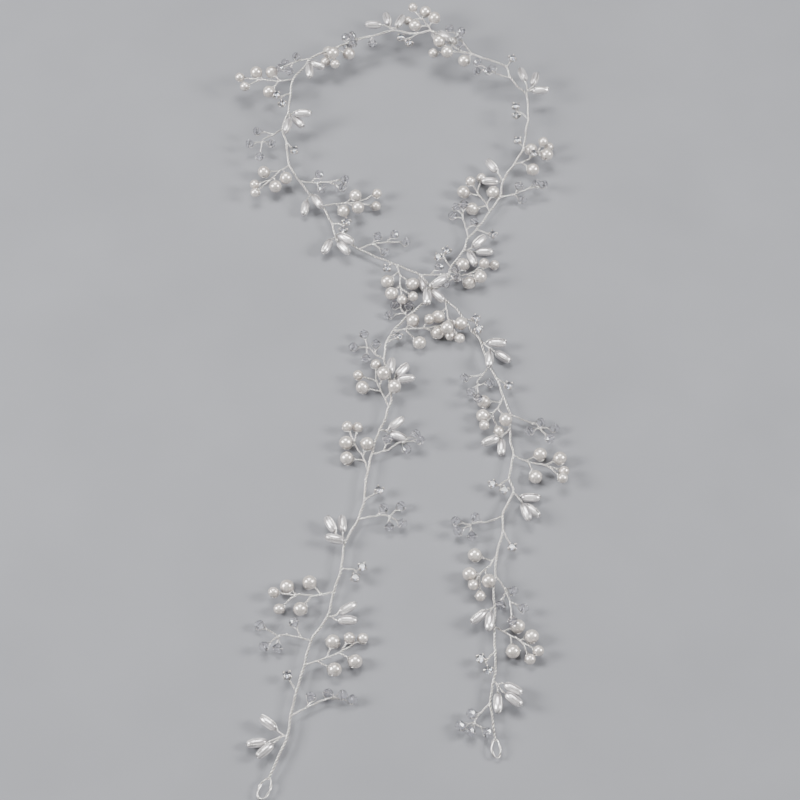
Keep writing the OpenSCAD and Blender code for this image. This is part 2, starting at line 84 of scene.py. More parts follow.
# A row is what grows there, the x, y and z of its foot on the stem, and its beads: [x, y] with a
# lift over the foot where it isn't the usual one, and for a rice pearl the way it points first.
# The stem from the right-hand eye to the top of the loop
RIGHT = [
    ["bend", 42, -189.5, 3],
    ["bend", 41, -179, 4],
    ["crystals", 40.5, -174, 4, [[32.5, -178.5], [28, -184], [32, -186], [39, -186.5]]],
    ["rice", 42, -164, 4, [[50, -167.5, -30], [50, -172, -38], [43.5, -174, -90]]],
    ["bend", 43, -159, 4],
    ["stones", 43, -151, 4, [[37, -154], [40, -159]]],
    ["bend", 43, -145, 4],
    ["pearls", 43, -139.5, 4,
     [[53, -139.5], [58.5, -144], [50.5, -151], [61, -150.5], [57.5, -154.5]]],
    ["rice", 43.5, -130, 4, [[36.5, -135, -140], [41, -137, -98]]],
    ["bend", 43, -125, 4],
    ["crystals", 44, -115.5, 4, [[51.5, -123], [46, -130], [55.5, -131], [50.5, -136.5]]],
    ["pearls", 45, -105.5, 4, [[35.5, -106], [33, -115], [41, -118], [34.5, -120], [37.5, -125.5]]],
    ["bend", 46.5, -99.5, 4],
    ["stones", 48, -94, 4, [[51.5, -102]]],
    ["crystals", 48, -87, 4, [[36, -87.5], [27.5, -89.5], [28.5, -94.5], [34.5, -97]]],
    ["bend", 50.5, -80.5, 4],
    ["rice", 53, -75, 4, [[60.5, -78, -2, -1.5], [61, -84.5, -43], [58, -85, -72, 2.5]]],
    ["stones", 51.5, -68.5, 4, [[44, -71], [49, -74]]],
    ["bend", 52.5, -62, 4],
    ["pearls", 53.5, -56.5, 4, [[65.5, -56], [74, -58], [63, -67.5], [75.5, -64.5], [74.5, -68]]],
    ["bend", 52.5, -48.5, 4],
    ["rice", 52.5, -43, 4, [[43.5, -49, -155], [48.5, -52.5, -92]]],
    ["crystals", 53, -35.5, 4, [[66.5, -39.5, -1.5], [72.5, -42.5], [70, -48], [61, -44]]],
    ["bend", 51.5, -30.5, 4],
    ["pearls", 50, -25.5, 4, [[41, -28.5], [50.5, -38], [40.5, -36], [41, -41], [47.5, -44]]],
    ["stones", 47, -15.5, 4, [[52.5, -20]]],
    ["crystals", 44, -9.5, 4, [[32.5, -16], [35.5, -23.5], [38.5, -27], [44.5, -18.5]]],
    ["bend", 42, -2.5, 4],
    ["rice", 40.5, 4, 4, [[48, 3, -3], [50.5, -4.5, -38], [44, -6, -93]]],
    ["bend", 36.5, 9.5, 4.5],
    ["stones", 33, 16, 5, [[38.5, 16], [39.5, 10]]],
    ["bend", 29, 22, 5],
    ["pearls", 24.5, 26.5, 5, [[21, 17], [31.5, 13], [25, 10.5, 4], [26.5, 6.5, -2], [31, 5]]],
    ["rice", 18, 33.5, 5, [[21, 28.5, -47], [16, 27.5, -90]]],
    ["crystals", 13, 40.5, 5, [[22, 45.5], [25, 35.5], [30, 43.5, 2], [30.5, 38.5, 3]]],
    ["bend", 5.5, 44.5, 5],
    ["pearls", 2, 46.5, 5, [[-2.5, 37], [-0.5, 30], [9.5, 35.5], [4.5, 26.5], [9.5, 28, 3]]],
    ["stones", -0.5, 48, 4.5, [[-2.5, 45]]],
    ["bend", -9, 52.5, 4],
    ["crystals", -16, 56.5, 4, [[-7, 64], [-3.5, 54.5], [1, 65], [6.5, 60.5]]],
    ["bend", -19.5, 59, 4],
    ["bend", -25.5, 61, 4],
    ["rice", -27, 64, 4, [[-22, 62, -33], [-23, 56.5, -50], [-31, 57.5, -115]]],
    ["stones", -29, 71.5, 4, [[-22, 72.5], [-23.5, 67.5]]],
    ["pearls", -34, 82, 4, [[-18, 88.5], [-23.5, 79], [-16.5, 80.5, 3.5], [-7.5, 89.5], [-8, 82]]],
    ["rice", -40, 89, 4.5, [[-36, 84, -60], [-42, 80.5, -98]]],
    ["crystals", -45, 96, 5.5, [[-35.5, 100], [-34, 91.5], [-23, 97], [-24, 92]]],
    ["pearls", -50, 105, 6.5, [[-62.5, 101], [-51.5, 97], [-56.5, 92], [-66.5, 93], [-66, 88]]],
    ["stones", -52, 118.5, 8, [[-48, 113]]],
    ["crystals", -54, 126.5, 8.5, [[-66.5, 124.5], [-70, 117], [-64.5, 108.5], [-59, 117]]],
    ["rice", -51.5, 135, 10, [[-51.5, 126.5, -100], [-46.5, 129.5, -50], [-44, 134, 0]]],
    ["bend", -51, 140.5, 10.5],
    ["stones", -50.5, 147, 11, [[-57.5, 145.5], [-54.5, 140]]],
    ["pearls", -49.5, 155, 12,
     [[-60.5, 160], [-68, 159.5], [-61.5, 147.5], [-76, 156], [-73.5, 150.5]]],
    ["rice", -43.5, 164, 12, [[-41.5, 160, -85], [-38, 165, -25]]],
    ["crystals", -41.5, 168.5, 12, [[-48.5, 169.5, 1.5], [-54, 166], [-51.5, 160], [-56, 161.5]]],
    ["bend", -36, 172, 12],
    ["pearls", -27.5, 176.5, 12,
     [[-32.5, 174], [-30, 171.5, 3], [-22, 172], [-34, 167.5, -1.5], [-29, 165.5]]],
    ["stones", -24, 178.5, 12, [[-23, 177]]],
    ["bend", -18, 181.5, 12],
    ["crystals", -8, 184.5, 12, [[-10.5, 178.5], [-20, 177.5], [-20.5, 181], [-24, 183]]],
    ["rice", 0.5, 187.5, 12, [[-10, 191, 178], [-3, 195.5, 105], [3.5, 193.5, 67]]],
    ["bend", 4, 187, 12],
]

# The stem from the top of the loop to the left-hand eye
LEFT = [
    ["bend", 4, 187, 12],
    ["bend", 8, 185.5, 12],
    ["stones", 12.5, 185.5, 12, [[8, 179], [4, 182.5]]],
    ["pearls", 19.5, 187, 12, [[16.5, 200.5], [21, 196], [11, 191], [10, 203], [7.5, 195]]],
    ["bend", 24, 183.5, 12],
    ["rice", 29, 178.5, 12, [[26, 182.5, 135], [22, 183.5, 115]]],
    ["bend", 33.5, 174, 12],
    ["crystals", 40, 171.5, 12, [[34.5, 178.5, -3], [33, 182.5, 3.5], [28.5, 188.5], [34.5, 187]]],
    ["pearls", 44, 169.5, 12, [[35.5, 167.5], [27, 172, 3.5], [23, 179], [20, 172], [30, 180.5]]],
    ["bend", 48.5, 167.5, 12],
    ["stones", 56.5, 163, 12, [[59.5, 168.5]]],
    ["crystals", 58.5, 156, 12, [[49.5, 162.5, -1.5], [47, 159.5, 3], [42, 166], [41.5, 160.5]]],
    ["bend", 62, 150.5, 11.5],
    ["rice", 66, 146, 11, [[64.5, 158.5, 105], [70.5, 156, 75], [73, 148.5, 5]]],
    ["bend", 66.5, 138, 10],
    ["stones", 66.5, 131.5, 9.5, [[60.5, 139.5], [60.5, 133.5]]],
    ["bend", 65.5, 126, 9],
    ["stones", 63.5, 114.5, 7.5, [[61, 119.5], [68.5, 111.5]]],
    ["pearls", 58.5, 105, 6.5, [[68, 102.5], [75, 111.5], [67.5, 115], [73.5, 119.5], [76.5, 117]]],
    ["rice", 53.5, 96.5, 5.5, [[48, 105, 125], [47, 96, 175]]],
    ["crystals", 51.5, 87, 4.5, [[61, 94], [62.5, 85.5], [69.5, 95], [72.5, 94]]],
    ["pearls", 46.5, 78.5, 4, [[38, 80.5], [34, 90.5], [48.5, 90.5], [37.5, 97], [43, 99.5]]],
    ["stones", 40, 68, 4, [[47.5, 65]]],
    ["crystals", 36, 63, 4, [[39, 72.5], [28.5, 76.5], [30.5, 81.5], [34, 82.5]]],
    ["rice", 33.5, 55.5, 4, [[41, 60.5, 45], [43.5, 55, 0], [37.5, 50.5, -67, 1]]],
    ["stones", 27.5, 46, 3.5, [[21.5, 52], [25.5, 56]]],
    ["pearls", 24.5, 37.5, 3, [[33, 48], [36, 37.5], [41, 40.5], [48, 48, -0.7], [43, 48.5, 3]]],
    ["rice", 20.5, 34.5, 3, [[21.5, 37.5, 35], [14, 37, 105]]],
    ["bend", 13.5, 25, 3],
    ["crystals", 7, 18.5, 3, [[-1.5, 19.5, -1], [1, 25, -1], [8, 24.5, -1], [5.5, 29, -1]]],
    ["pearls", 0.5, 10, 3.5, [[9.5, 16], [12.5, 3.5], [21, 9], [17, 16.5], [26.5, 14, -1.2]]],
    ["stones", -2.5, 3.5, 4, [[2.5, 7]]],
    ["crystals", -3.5, -6, 4, [[-13, 8], [-18, 1], [-7.5, 2.5], [-12, -5.5]]],
    ["bend", -1.5, -16, 4],
    ["rice", -1, -21, 4, [[-0.5, -9.5, 83], [4.5, -12, 50], [6, -16.5, 10]]],
    ["bend", -0.5, -28, 4],
    ["pearls", -1.5, -31.5, 4,
     [[1, -20.5], [-13.5, -21], [-4, -13.5], [-15.5, -14.5], [-7.5, -8.5]]],
    ["bend", -4, -40.5, 4],
    ["rice", -5.5, -43.5, 4, [[2, -40, 42], [3, -47, -25]]],
    ["crystals", -9, -56, 4, [[-2, -48], [10.5, -45.5, 1.5], [12.5, -48.5], [6.5, -53.5]]],
    ["pearls", -10.5, -64.5, 4,
     [[-20, -58], [-20.5, -50], [-11, -50.5], [-20, -41.5], [-15.5, -42]]],
    ["bend", -11.5, -70, 4],
    ["stones", -12, -79, 4, [[-5.5, -74]]],
    ["crystals", -14.5, -88.5, 4, [[-3.5, -83], [4, -82], [4.5, -90.5], [-1, -92.5]]],
    ["rice", -20, -100, 4, [[-26.5, -91, 118], [-21.5, -91, 95], [-24.5, -98, 165]]],
    ["stones", -21.5, -112.5, 4, [[-12.5, -111.5], [-15.5, -116.5]]],
    ["pearls", -24.5, -123.5, 4,
     [[-35, -119], [-44.5, -121, -1], [-38.5, -131.5], [-50, -123.5], [-47.5, -131.5]]],
    ["rice", -27, -135, 4, [[-18.5, -131, 32], [-18.5, -136.5, -2]]],
    ["crystals", -33.5, -146, 4, [[-41, -137.5], [-55.5, -139], [-53, -148.5], [-47.5, -149.5]]],
    ["pearls", -36, -157, 4,
     [[-24.5, -146.5], [-23.5, -159], [-15, -155.5], [-17.5, -144.5], [-12, -145]]],
    ["stones", -39, -169, 4, [[-43, -161.5]]],
    ["crystals", -41, -179.5, 4, [[-33, -171], [-26, -170, -1.9], [-20, -170, 2], [-16, -172.5]]],
    ["rice", -42, -188, 4, [[-50, -182.5, 140], [-54.5, -191.5, 187], [-51, -194.5, 222]]],
    ["bend", -45, -196, 4],
    ["bend", -49, -206, 3],
]

# Usual height of each bead above the foot of its sprig
LIFTS = {
    "pearls": (-1, 0.5, -0.5, 1, -0.5),
    "crystals": (0.5, -1, 1, -0.5),
    "rice": (1, -1, 0.5),
    "stones": (0.5, 1),
}
# The heights that a bead tries, one after the other, until it is clear of its neighbours
TRIES = (0, 0.5, -0.5, 1, -1, 1.5, -1.5, 2, -2, 2.5, -2.5, 3, -3, 3.5, 4, 4.5, 5, 5.5, 6, 7, 8, 9)
# Beads and wires farther off than this in x or y are never neighbours
NEAR = 16

UP = np.array((0.0, 0.0, 1.0))


def vec(*xyz):
    return np.array(xyz, float)


def unit(v):
    return v / np.linalg.norm(v)


def turned(degrees):
    """The way in plan at that many degrees from +X."""
    return vec(math.cos(math.radians(degrees)), math.sin(math.radians(degrees)), 0)


def between(a, b, share):
    return a + share * (b - a)


def rice_radius(at):
    """Radius of a rice pearl at a distance from its middle."""
    return RICE_D / 2 - (RICE_D - RICE_END_D) / 2 * abs(2 * at / RICE_LEN) ** RICE_FULLNESS


class Sprig:
    """A bare bend of the stem, or a sprig with its beads, of which the last ends the spine."""

    def __init__(self, kind, x, y, z, beads=()):
        self.kind = kind
        self.foot = vec(x, y, z)
        self.chart_y = y
        self.beads = beads
        self.middles = []

    def radius(self, i):
        pearl = LARGE_PEARL_D if i < LARGE_PEARLS else SMALL_PEARL_D
        widths = {"pearls": pearl, "crystals": CRYSTAL_W, "rice": RICE_D, "stones": CUP_D}
        return widths[self.kind] / 2

    def lift(self, i):
        at = 3 if self.kind == "rice" else 2
        return self.beads[i][at] if len(self.beads[i]) > at else LIFTS[self.kind][i]

    def at_height(self, i, step):
        x, y = self.beads[i][:2]
        z = max(self.radius(i), self.foot[2] + self.lift(i) + step)
        return vec(x, y - FORWARD_LEAN * (z - self.foot[2]), z)

    def balls(self, i, at):
        """Balls that fill a bead."""
        if self.kind == "rice":
            places = [share * RICE_LEN for share in RICE_BALLS]
            return [(at + x * self.rice_way(i), rice_radius(x)) for x in places]
        return [(at, self.radius(i) * (CRYSTAL_BALL if self.kind == "crystals" else 1))]

    def settle(self, taken, stem):
        """Each bead takes the first height that is free."""
        for i in range(len(self.beads)):
            start = self.at_height(i, 0)
            others = [b for b in taken if is_near(b[0], start)]
            pieces = [p for p in stem if self.kind != "stones" and is_near(p[0], start)]
            tries = [self.at_height(i, step) for step in TRIES]
            free = (at for at in tries if is_free(self.balls(i, at), others, pieces))
            self.middles.append(next(free, start))
            taken += self.balls(i, self.middles[i])

    def rice_way(self, i):
        return turned(self.beads[i][2])

    def goal(self, i):
        """Where the wire of a bead goes: to its middle, or to the blunt end of a rice pearl."""
        if self.kind == "rice":
            return self.middles[i] - (RICE_LEN / 2 + RICE_NECK) * self.rice_way(i)
        return self.middles[i]

    def is_long(self):
        return self.kind in ("pearls", "crystals")

    def spine(self):
        """The foot, the bend if it has one, and the end of the spine."""
        share = SPINE_SHARE if self.kind != "rice" else SPINE_SHARE / 2
        goals = [self.goal(i) for i in range(len(self.beads))]
        end = between(self.foot, sum(goals) / len(goals), share)
        if not self.is_long():
            return [self.foot, end]
        way = end - self.foot
        bow = SPINE_BOW * math.sin(math.radians(BOW_TURN * self.chart_y))
        return [self.foot, between(self.foot, end, 0.5) + bow * vec(-way[1], way[0], 0), end]

    def fork(self, i):
        """Where the twig of a bead leaves the spine, and the way that the spine goes there."""
        spine = self.spine()
        way = spine[-1] - self.foot
        reach = self.goal(i) - self.foot
        along = reach @ unit(way)
        across = np.linalg.norm(reach - along * unit(way))
        share = min(1, max(BARE_SHARE, (along - TWIG_LEAN * across) / np.linalg.norm(way)))
        at = share * (len(spine) - 1)
        k = min(int(at), len(spine) - 2)
        return between(spine[k], spine[k + 1], at - k), unit(spine[k + 1] - spine[k])


def beads_of(half, kind=None):
    """Each bead of a kind, or of all kinds, along half of the stem: its sprig and number there."""
    for sprig in half:
        if kind in (None, sprig.kind):
            for i in range(len(sprig.beads)):
                yield sprig, i


def is_near(a, b):
    return abs(a[0] - b[0]) < NEAR and abs(a[1] - b[1]) < NEAR


def is_free(mine, others, pieces):
    for at, r in mine:
        for other, other_r in others:
            if np.linalg.norm(at - other) - r - other_r < BEAD_GAP:
                return False
        for p, q in pieces:
            share = max(0, min(1, (at - p) @ (q - p) / ((q - p) @ (q - p))))
            if np.linalg.norm(between(p, q, share) - at) - r - STEM_D / 2 < BEAD_GAP:
                return False
    return True


def stand(halves):
    """Settles all beads and moves the vine so that its box stands at the origin of the frame."""
    stem = [(a.foot, b.foot) for half in halves for a, b in zip(half, half[1:])]
    taken = []
    for half in halves:
        for sprig in half:
            sprig.settle(taken, stem)
    beads = [(sprig.middles[i], sprig.radius(i)) for half in halves for sprig, i in beads_of(half)]
    end, before = halves[1][-1].foot, halves[1][-2].foot
    low = np.min([m - r for m, r in beads] + [end + LEFT_EYE[0] * unit(end - before)], axis=0)
    high = np.max([m + r for m, r in beads], axis=0)
    origin = vec((low[0] + high[0]) / 2, (low[1] + high[1]) / 2, low[2])
    for half in halves:
        for sprig in half:
            sprig.foot = sprig.foot - origin
            sprig.middles = [m - origin for m in sprig.middles]


# Paths of the wires

STEM_PITCH = 3.2
TWIG_PITCH = 2.6
RINGS_A_TURN = 8
STRAND_SIDES = 6
# The second wave of a hand-bent wire: its size and its length as shares of the first one's
CROSS_WAVE = (0.6, 1.37)
# A hand never twists evenly: by how many radians a twist runs ahead and lags behind, and over
# how many turns
UNEVEN = 0.5
UNEVEN_TURNS = 3.3


def smooth(points, step, first_way=None, last_way=None):
    """Points about a step apart on a smooth line through the given ones."""
    points = np.array(points)
    chords = np.linalg.norm(np.diff(points, axis=0), axis=1)
    ways = np.zeros_like(points)
    ways[0] = unit(points[1] - points[0]) if first_way is None else first_way
    ways[-1] = unit(points[-1] - points[-2]) if last_way is None else last_way
    for k in range(1, len(points) - 1):
        ways[k] = unit(unit(points[k + 1] - points[k]) + unit(points[k] - points[k - 1]))
    line = []
    for k, chord in enumerate(chords):
        count = max(2, round(chord / step))
        t = (np.arange(count) / count)[:, None]
        line.append(
            (2 * t**3 - 3 * t**2 + 1) * points[k]
            + (t**3 - 2 * t**2 + t) * chord * ways[k]
            + (3 * t**2 - 2 * t**3) * points[k + 1]
            + (t**3 - t**2) * chord * ways[k + 1]
        )
    return np.vstack(line + [points[-1:]])


def ways_along(line):
    steps = np.gradient(line, axis=0)
    return steps / np.linalg.norm(steps, axis=1)[:, None]


def normals_along(line, first):
    """A normal carried along a line without turning round it."""
    found = []
    for way in ways_along(line):
        first = first - (first @ way) * way
        first = unit(first)
        found.append(first)
    return np.array(found)


def distances_along(line):
    return np.concatenate([[0], np.cumsum(np.linalg.norm(np.diff(line, axis=0), axis=1))])


def hand_bent(line, size, wave, phase):
    """The small waves that fingers leave in a soft wire, none of them at its ends."""
    far = distances_along(line)
    ends = np.sqrt(np.clip(np.sin(np.pi * far / far[-1]), 0, 1))
    ways = ways_along(line)
    side = np.cross(ways, UP)
    side /= np.linalg.norm(side, axis=1)[:, None]
    smaller, longer = CROSS_WAVE
    level = size * ends * np.sin(2 * np.pi * far / wave + phase)
    upright = smaller * size * ends * np.sin(2 * np.pi * far / (longer * wave) + 2 * phase)
    return line + level[:, None] * side + upright[:, None] * np.cross(side, ways)


def twist(line, strand_r, pitch, phase=0.0, end_side=None):
    """Two strands round a line: for each its points, and the ways from the line out to them.
    Where an end side is given, the first strand ends on that side."""
    far = distances_along(line)
    ways = ways_along(line)
    normals = normals_along(line, unit(np.cross(ways[0], UP + 0.01)))
    sides = np.cross(ways, normals)
    lag = UNEVEN * np.sin(2 * np.pi * far / (UNEVEN_TURNS * pitch) + phase)
    angles = 2 * np.pi * far / pitch + lag
    if end_side is None:
        angles += phase
    else:
        angles += math.atan2(end_side @ sides[-1], end_side @ normals[-1]) - angles[-1]
    away = np.cos(angles)[:, None] * normals + np.sin(angles)[:, None] * sides
    return [(line + strand_r * away, away), (line - strand_r * away, -away)]


# Meshes


def end_caps(rings, sides, length):
    """The flat faces at both ends of a row of rings, and their maps."""
    last = (rings - 1) * sides
    faces = [tuple(range(sides - 1, -1, -1)), tuple(last + k for k in range(sides))]
    return faces, [[(0, 0)] * sides, [(0, length)] * sides]


class Piece:
    """The points and faces of one piece of the vine, with a map in millimetres round and along.
    Each point has a depth in its twist, and each face the number of its material."""

    def __init__(self, name):
        self.name = name
        self.points = []
        self.faces = []
        self.maps = []
        self.depths = []
        self.finishes = []

    def add(self, points, faces, maps, depths=None, finishes=None):
        start = len(self.points)
        self.points.extend(points)
        self.faces.extend(tuple(start + k for k in face) for face in faces)
        self.maps.extend(maps)
        self.depths.extend([0.0] * len(points) if depths is None else depths)
        self.finishes.extend([0] * len(faces) if finishes is None else finishes)

    def strand(self, line, away, radius, sides=STRAND_SIDES):
        """A round wire with closed ends. Its depth is 1 where it faces its twin and 0 outside."""
        line = np.asarray(line)
        radii = np.broadcast_to(radius, len(line))[:, None]
        ways = ways_along(line)
        outward = away - np.sum(away * ways, axis=1)[:, None] * ways
        outward /= np.linalg.norm(outward, axis=1)[:, None]
        aside = np.cross(ways, outward)
        far = distances_along(line)
        turns = [2 * math.pi * k / sides for k in range(sides)]
        rings = [line + radii * (math.cos(a) * outward + math.sin(a) * aside) for a in turns]
        points = np.stack(rings, axis=1).reshape(-1, 3)
        depths = [(1 - math.cos(a)) / 2 for a in turns] * len(line)
        faces, maps = [], []
        wide = 2 * math.pi * float(np.max(radii)) / sides
        for i in range(len(line) - 1):
            for k in range(sides):
                n = (k + 1) % sides
                a, b = i * sides, (i + 1) * sides
                faces.append((a + k, a + n, b + n, b + k))
                maps.append([(k * wide, far[i]), ((k + 1) * wide, far[i]),
                             ((k + 1) * wide, far[i + 1]), (k * wide, far[i + 1])])
        cap_faces, cap_maps = end_caps(len(line), sides, far[-1])
        self.add(points, faces + cap_faces, maps + cap_maps, depths)

    def turned_ring(self, profile, sides, at, axis, closed=True, offset=None, bands=None):
        """An outline of (radius, height) turned round an axis. A closed outline makes a drilled
        bead, an open one a body with flat ends. An offset for each point of the outline turns
        its ring by that share of a step, and bands gives each band of faces its material."""
        along = unit(axis)
        x = unit(np.cross(along, UP if abs(along[2]) < 0.9 else vec(1, 0, 0)))
        y = np.cross(along, x)
        offset = offset or [0] * len(profile)
        points = []
        for (r, h), shift in zip(profile, offset):
            for k in range(sides):
                a = 2 * math.pi * (k + shift) / sides
                points.append(at + h * along + r * (math.cos(a) * x + math.sin(a) * y))
        far = distances_along(np.array([(r, h, 0.0) for r, h in profile + profile[:1]]))
        widest = max(r for r, h in profile)
        faces, maps, finishes = [], [], []
        for i in range(len(profile) if closed else len(profile) - 1):
            j = (i + 1) % len(profile)
            lag = offset[j] - offset[i]
            finishes.extend([bands[i] if bands else 0] * (sides if lag == 0 else 2 * sides))
            for k in range(sides):
                n = (k + 1) % sides
                u, v = (2 * math.pi * widest * t / sides for t in (k, k + 1))
                a, b, c, d = i * sides + k, i * sides + n, j * sides + n, j * sides + k
                ma, mb, mc, md = (u, far[i]), (v, far[i]), (v, far[i + 1]), (u, far[i + 1])
                if lag == 0:
                    faces.append((a, b, c, d))
                    maps.append([ma, mb, mc, md])
                elif lag > 0:
                    faces.extend([(a, b, d), (b, c, d)])
                    maps.extend([[ma, mb, md], [mb, mc, md]])
                else:
                    faces.extend([(a, b, c), (a, c, d)])
                    maps.extend([[ma, mb, mc], [ma, mc, md]])
        if not closed:
            cap_faces, cap_maps = end_caps(len(profile), sides, far[-1])
            faces += cap_faces
            maps += cap_maps
            finishes += [bands[0], bands[-1]] if bands else [0, 0]
        self.add(points, faces, maps, finishes=finishes)

    def make(self, materials, smooth_shading=True, replaces=None):
        """The Blender object of the piece, which rides with the vine."""
        mesh = bpy.data.meshes.new(self.name)
        mesh.from_pydata((np.array(self.points) * MM).tolist(), [], self.faces)
        layer = mesh.uv_layers.new(name="millimetres")
        flat_maps = np.array([uv for face in self.maps for uv in face], float)
        layer.data.foreach_set("uv", flat_maps.ravel())
        depth = mesh.attributes.new("depth", "FLOAT", "POINT")
        depth.data.foreach_set("value", self.depths)
        for material in materials:
            mesh.materials.append(material)
        mesh.polygons.foreach_set("material_index", self.finishes)
        mesh.polygons.foreach_set("use_smooth", [smooth_shading] * len(self.faces))
        mesh.update()
        obj = bpy.data.objects.new(self.name, mesh)
        bpy.context.scene.collection.objects.link(obj)
        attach(obj, "root")
        if replaces:
            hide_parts(replaces)


# Beads

BORE_R = BORE_D / 2
PEARL_SIDES = 28
PEARL_RINGS = 18
# No pearl is quite round: the least and the most of its length along its bore, as a share
SQUEEZE = (0.97, 1.0)
# The worn rim of a bore in a round pearl: its width as a share of the bore's, and its depth
RIM_SHARE = 1.25
RIM_DEPTH = 0.1
RICE_SIDES = 24
RICE_RINGS = 14
# The same for a rice pearl, and how much its blunt ends are rounded
RICE_RIM_SHARE = 1.2
RICE_RIM_DEPTH = 0.15
RICE_ROUNDING = 0.12


def bead_way(sprig, i):
    """The way that the wire of a bead comes in."""
    if sprig.kind == "rice":
        return sprig.rice_way(i)
    if len(sprig.beads) == 1:
        start = sprig.foot
    elif i == len(sprig.beads) - 1:
        start = sprig.spine()[-1]
    else:
        start = sprig.fork(i)[0]
    return unit(sprig.goal(i) - start)


def bead_side(sprig, i):
    """The level way across a bead, along which a round bead is drilled."""
    return unit(np.cross(bead_way(sprig, i), UP))


def round_profile(r):
    """The outline of a drilled ball from one end of its bore to the other, with a worn rim."""
    rim = math.asin(RIM_SHARE * BORE_R / r)
    angles = [rim + (math.pi - 2 * rim) * k / PEARL_RINGS for k in range(PEARL_RINGS + 1)]
    ball = [(r * math.sin(a), -r * math.cos(a)) for a in angles]
    edge = ball[-1][1] - RIM_DEPTH
    return [(BORE_R, -edge)] + ball + [(BORE_R, edge)]


def rice_profile():
    """The outline of a rice pearl, blunt and a little rounded at both ends."""
    half = RICE_LEN / 2
    body = [-half + RICE_LEN * k / RICE_RINGS for k in range(RICE_RINGS + 1)]
    side = [[rice_radius(x), x] for x in body]
    side[0][0] -= RICE_ROUNDING
    side[-1][0] -= RICE_ROUNDING
    mouth = RICE_RIM_SHARE * BORE_R
    inside = half - RICE_RIM_DEPTH
    return [(BORE_R, -inside), (mouth, -half)] + side + [(mouth, half), (BORE_R, inside)]


def pearls(name, half, large, material, node):
    piece = Piece(name)
    draw = random.Random(name)
    for sprig, i in beads_of(half, "pearls"):
        if (i < LARGE_PEARLS) == large:
            squeeze = draw.uniform(*SQUEEZE)
            profile = [(r, squeeze * h) for r, h in round_profile(sprig.radius(i))]
            piece.turned_ring(profile, PEARL_SIDES, sprig.middles[i], bead_side(sprig, i))
    piece.make([material], replaces=node)


def rice_pearls(name, half, material, node):
    piece = Piece(name)
    profile = rice_profile()
    for sprig, i in beads_of(half, "rice"):
        piece.turned_ring(profile, RICE_SIDES, sprig.middles[i], sprig.rice_way(i))
    piece.make([material], replaces=node)


# Rings of a cut glass bead from one end of its bore to the other: share of its half width
# out from the bore, share along it, and the share of a facet that the ring is turned
CUT = [(0.24, -0.86, 0), (0.48, -0.9, 0), (0.84, -0.56, 0.5), (1.03, 0, 0),
       (0.84, 0.56, 0.5), (0.48, 0.9, 0), (0.24, 0.86, 0)]
CUT_SIDES = 8


def crystals(name, half, material, node):
    piece = Piece(name)
    r = CRYSTAL_W / 2
    rings = [(r * out, r * along) for out, along, shift in CUT]
    shifts = [shift for out, along, shift in CUT]
    for sprig, i in beads_of(half, "crystals"):
        side = bead_side(sprig, i)
        piece.turned_ring(rings, CUT_SIDES, sprig.middles[i], side, offset=shifts)
    piece.make([material], smooth_shading=False, replaces=node)


# The setting: a stamped cup with a hole in its base, and four claws bent over the stone
CUP_WALL = [(0.35, -1.5), (1.25, -1.5), (1.4, -1.38), (1.92, -0.3),
            (1.76, -0.3), (1.2, -1.3), (0.35, -1.3)]
CUP_SIDES = 24
# A claw from its root to its tip: out from the middle of the cup, up, and the claw's radius
CLAW = [(1.55, -1.2, 0.28), (1.95, -0.5, 0.34), (2.08, 0.1, 0.4),
        (2.02, 0.6, 0.44), (1.7, 1.0, 0.46), (1.2, 1.16, 0.34)]
CLAWS = 4
CLAW_STEP = 0.3
CLAW_SIDES = 8
# The first corner of a claw's section points outwards and this much up, as a slope
CLAW_SEAM = 0.6
# The stone from its point to its table: radius, height and turn of each ring
STONE = [(0.1, -1.15, 0), (1.86, -0.06, 0), (1.86, 0.1, 0), (1.62, 0.62, 0.5), (1.02, 1.0, 0)]
# Foil on the cone below its edge, bare glass above
FOIL = (1, 0, 0, 0)
FACETS = 12
# A stone never sits quite level in its claws: how far its axis leans, as a slope
STONE_LEAN = 0.08


def cups(name, half, material):
    piece = Piece(name)
    draw = random.Random(name)
    shares = np.linspace(0, 1, len(CLAW))
    for sprig, i in beads_of(half, "stones"):
        at = sprig.middles[i]
        piece.turned_ring(CUP_WALL, CUP_SIDES, at, UP)
        turn = draw.uniform(0, 360 / CLAWS)
        for k in range(CLAWS):
            out = turned(turn + 360 * k / CLAWS)
            line = smooth([at + r * out + h * UP for r, h, claw_r in CLAW], CLAW_STEP)
            radii = np.interp(np.linspace(0, 1, len(line)), shares, [row[2] for row in CLAW])
            away = np.tile(out + CLAW_SEAM * UP, (len(line), 1))
            piece.strand(line, away, radii, sides=CLAW_SIDES)
    piece.make([material])


def rhinestones(name, half, materials):
    piece = Piece(name)
    draw = random.Random(name)
    rings = [(r, h) for r, h, shift in STONE]
    shifts = [shift for r, h, shift in STONE]
    for sprig, i in beads_of(half, "stones"):
        axis = unit(UP + STONE_LEAN * turned(draw.uniform(0, 360)))
        at = sprig.middles[i]
        piece.turned_ring(rings, FACETS, at, axis, closed=False, offset=shifts, bands=FOIL)
    piece.make(materials, smooth_shading=False)


# Wires

# A hand-made twist is this much wider than the plain wire that stands for it in the solids
LOOSE = 1.25
STEM_STRAND_R = LOOSE * STEM_D / 4
TWIG_STRAND_R = LOOSE * TWIG_D / 4
# A strand lies tighter, and looks thinner, where it is alone on its bead
HUG_R = 0.16
# How far fingers bent the stem and a twig, and over what length
STEM_BEND = (0.16, 9.0)
TWIG_BEND = (0.1, 4.5)
# How much of the spine's way a twig still has where it leaves it
FORK_EASE = 0.35
# Each twig is wound and bent a little otherwise than the sprig and the bead before it
SPRIG_PHASE = 1.7
BEAD_PHASE = 2.3
